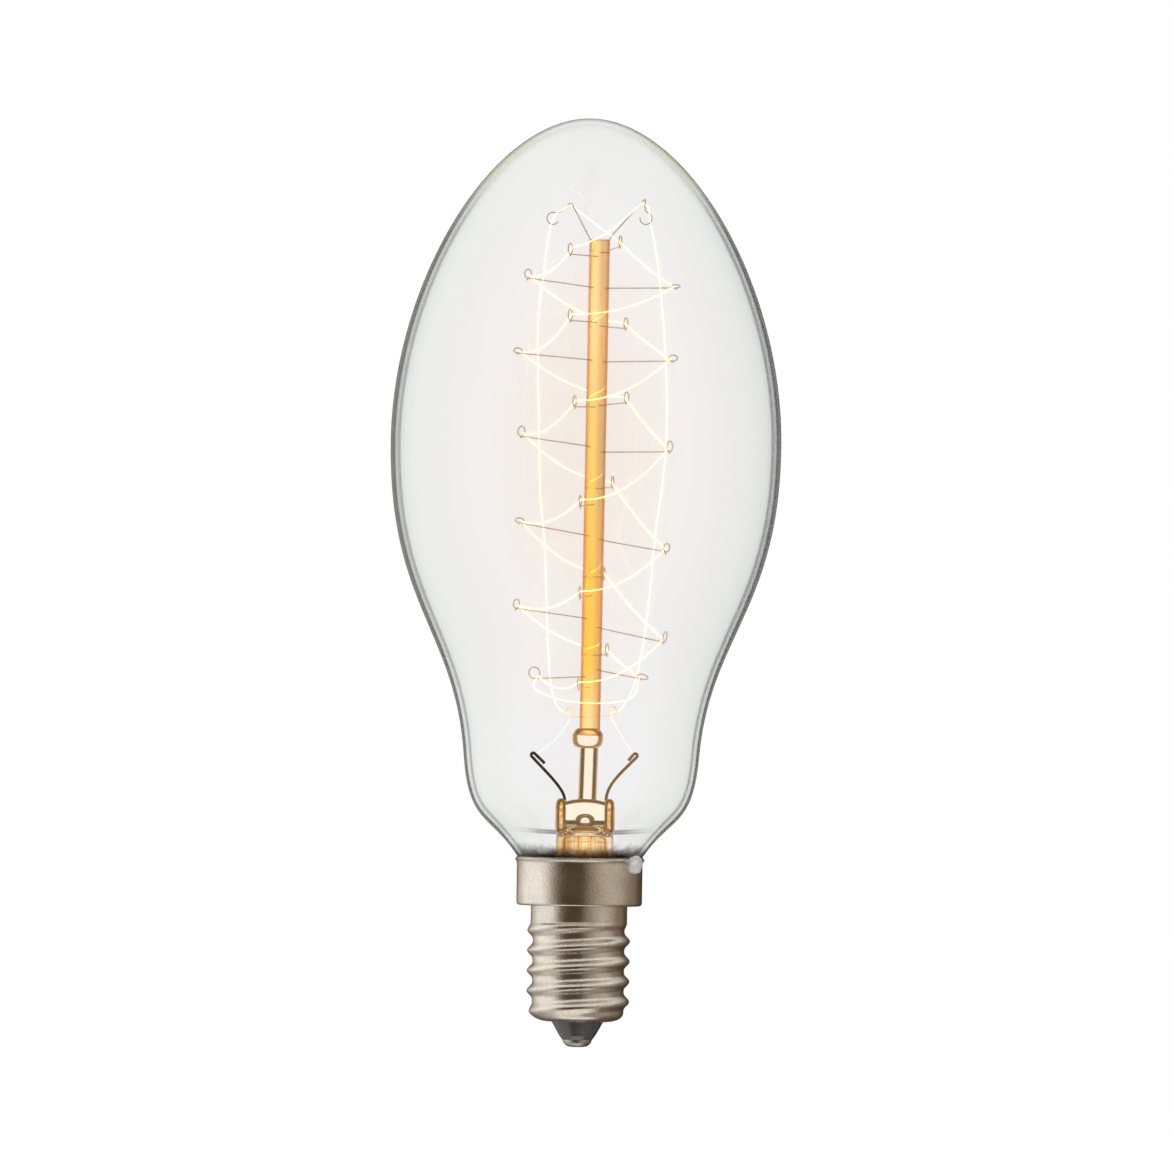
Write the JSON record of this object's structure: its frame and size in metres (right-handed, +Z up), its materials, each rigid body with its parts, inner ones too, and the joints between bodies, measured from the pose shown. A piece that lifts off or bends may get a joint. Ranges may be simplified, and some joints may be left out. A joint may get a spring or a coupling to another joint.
{
  "type": "light bulb",
  "caption": "Clear oval filament bulb with a waisted neck and a small screw cap; wire hooks on a glass cane hold a caged filament that glows warm white.",
  "frame": {"origin": "lowest point of the centre contact, on the axis of the screw cap", "axes": "+Z up the lamp's axis, from the contact to the crown; +X to the right and +Y away from the viewer in the front view"},
  "size_m": [0.0546, 0.0546, 0.13],
  "materials": {
    "bulb_glass": "clear blown soda glass, smooth, with a faint grey-green edge",
    "stem_glass": "clear lead glass that carries the filament's amber light",
    "amber_cane": "glass cane lit amber by the filament, lightly streaked",
    "hook_wire": "dark drawn molybdenum wire",
    "filament_coil": "coiled tungsten at white-orange heat",
    "lead_nickel": "drawn nickel wire, darkened",
    "lead_copper": "copper-clad wire",
    "cement": "matt basing cement",
    "cap_nickel": "satin nickel plate with fine grain",
    "black_glass": "black moulded glass",
    "contact_brass": "stamped brass",
    "solder": "bright tin solder, slightly frosted"
  },
  "bodies": {
    "root": {"glass_bulb": "bulb_glass", "flare_tube": "stem_glass", "stem_press": "stem_glass", "exhaust_tube": "stem_glass", "stem_cane": "stem_glass", "cane_joint": "stem_glass", "hook_cane": "amber_cane", "left_hooks": "hook_wire", "right_hooks": "hook_wire", "front_hooks": "hook_wire", "back_hooks": "hook_wire", "crown_hooks": "hook_wire", "guide_hooks": "hook_wire", "filament": "filament_coil", "inner_lead_left": "lead_nickel", "inner_lead_right": "lead_nickel", "seal_wire_left": "lead_copper", "seal_wire_right": "lead_copper", "centre_lead": "lead_copper", "side_lead": "lead_copper", "basing_cement": "cement", "screw_shell": "cap_nickel", "insulator": "black_glass", "centre_eyelet": "contact_brass", "centre_solder": "solder", "side_solder": "solder"}
  },
  "joints": []
}
